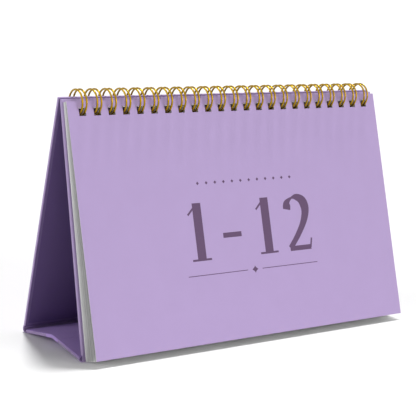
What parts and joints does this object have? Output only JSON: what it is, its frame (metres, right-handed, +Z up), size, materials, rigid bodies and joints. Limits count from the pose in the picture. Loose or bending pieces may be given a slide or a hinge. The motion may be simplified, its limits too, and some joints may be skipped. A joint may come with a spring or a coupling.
{
  "type": "tent desk calendar",
  "caption": "Folding tent stand of covered board with a twin-loop wire along the ridge and a cover and month sheets that turn over it.",
  "frame": {"origin": "bottom centre of the object's box, on the table", "axes": "+X along the ridge, -Y towards the sheets, +Z up"},
  "size_m": [0.2052, 0.072, 0.1312],
  "materials": {
    "wrap_paper": "matte lilac cover paper",
    "lining_paper": "matte lilac lining paper",
    "grey_board": "raw grey board",
    "cover_paper": "matte lilac, printed",
    "sheet_paper": "uncoated white",
    "gold_wire": "polished gold lacquer"
  },
  "bodies": {
    "front": {"front_board": "grey_board", "front_wrap": "wrap_paper", "front_lining": "lining_paper", "front_foot_hinge": "wrap_paper", "twin_loop_wire": "gold_wire"},
    "back": {"back_board": "grey_board", "back_wrap": "wrap_paper", "back_lining": "lining_paper", "back_foot_hinge": "wrap_paper"},
    "base_front": {"base_front_board": "grey_board", "base_front_wrap": "wrap_paper", "base_front_lining": "lining_paper", "crease_hinge": "wrap_paper"},
    "base_back": {"base_back_board": "grey_board", "base_back_wrap": "wrap_paper", "base_back_lining": "lining_paper"},
    "month_12": {"month_sheet_12": "sheet_paper"},
    "month_11": {"month_sheet_11": "sheet_paper"},
    "month_10": {"month_sheet_10": "sheet_paper"},
    "month_09": {"month_sheet_09": "sheet_paper"},
    "month_08": {"month_sheet_08": "sheet_paper"},
    "month_07": {"month_sheet_07": "sheet_paper"},
    "month_06": {"month_sheet_06": "sheet_paper"},
    "month_05": {"month_sheet_05": "sheet_paper"},
    "month_04": {"month_sheet_04": "sheet_paper"},
    "month_03": {"month_sheet_03": "sheet_paper"},
    "month_02": {"month_sheet_02": "sheet_paper"},
    "month_01": {"month_sheet_01": "sheet_paper"},
    "cover": {"cover_sheet": "cover_paper"}
  },
  "joints": [
    {"name": "ridge_fold", "type": "hinge", "parent": "front", "child": "back", "pos_m": [0, 0.00556, 0.1264], "axis": [-1, 0, 0], "range_deg": [0, 20.75], "deforming": ["crease_hinge"]},
    {"name": "base_front_fold", "type": "hinge", "parent": "front", "child": "base_front", "pos_m": [0, -0.02289, 0.00195], "axis": [1, 0, 0], "range_deg": [0, 67.84]},
    {"name": "base_back_fold", "type": "hinge", "parent": "back", "child": "base_back", "pos_m": [0, 0.03401, 0.00195], "axis": [-1, 0, 0], "range_deg": [0, 67.84]},
    {"name": "month_12_turn", "type": "hinge", "parent": "front", "child": "month_12", "pos_m": [0, 0.00159, 0.12495], "axis": [-1, 0, 0], "range_deg": [0, 180]},
    {"name": "month_11_turn", "type": "hinge", "parent": "month_12", "child": "month_11", "pos_m": [0, 0.00159, 0.12495], "axis": [-1, 0, 0], "range_deg": [0, 180]},
    {"name": "month_10_turn", "type": "hinge", "parent": "month_11", "child": "month_10", "pos_m": [0, 0.00159, 0.12495], "axis": [-1, 0, 0], "range_deg": [0, 180]},
    {"name": "month_09_turn", "type": "hinge", "parent": "month_10", "child": "month_09", "pos_m": [0, 0.00159, 0.12495], "axis": [-1, 0, 0], "range_deg": [0, 180]},
    {"name": "month_08_turn", "type": "hinge", "parent": "month_09", "child": "month_08", "pos_m": [0, 0.00159, 0.12495], "axis": [-1, 0, 0], "range_deg": [0, 180]},
    {"name": "month_07_turn", "type": "hinge", "parent": "month_08", "child": "month_07", "pos_m": [0, 0.00159, 0.12495], "axis": [-1, 0, 0], "range_deg": [0, 180]},
    {"name": "month_06_turn", "type": "hinge", "parent": "month_07", "child": "month_06", "pos_m": [0, 0.00159, 0.12495], "axis": [-1, 0, 0], "range_deg": [0, 180]},
    {"name": "month_05_turn", "type": "hinge", "parent": "month_06", "child": "month_05", "pos_m": [0, 0.00159, 0.12495], "axis": [-1, 0, 0], "range_deg": [0, 180]},
    {"name": "month_04_turn", "type": "hinge", "parent": "month_05", "child": "month_04", "pos_m": [0, 0.00159, 0.12495], "axis": [-1, 0, 0], "range_deg": [0, 180]},
    {"name": "month_03_turn", "type": "hinge", "parent": "month_04", "child": "month_03", "pos_m": [0, 0.00159, 0.12495], "axis": [-1, 0, 0], "range_deg": [0, 180]},
    {"name": "month_02_turn", "type": "hinge", "parent": "month_03", "child": "month_02", "pos_m": [0, 0.00159, 0.12495], "axis": [-1, 0, 0], "range_deg": [0, 180]},
    {"name": "month_01_turn", "type": "hinge", "parent": "month_02", "child": "month_01", "pos_m": [0, 0.00159, 0.12495], "axis": [-1, 0, 0], "range_deg": [0, 180]},
    {"name": "cover_turn", "type": "hinge", "parent": "month_01", "child": "cover", "pos_m": [0, 0.00159, 0.12495], "axis": [-1, 0, 0], "range_deg": [0, 180]}
  ],
  "couplings": [
    {"joint": "base_front_fold", "follows": "ridge_fold", "ratio": 3.2694},
    {"joint": "base_back_fold", "follows": "ridge_fold", "ratio": 3.2694}
  ]
}
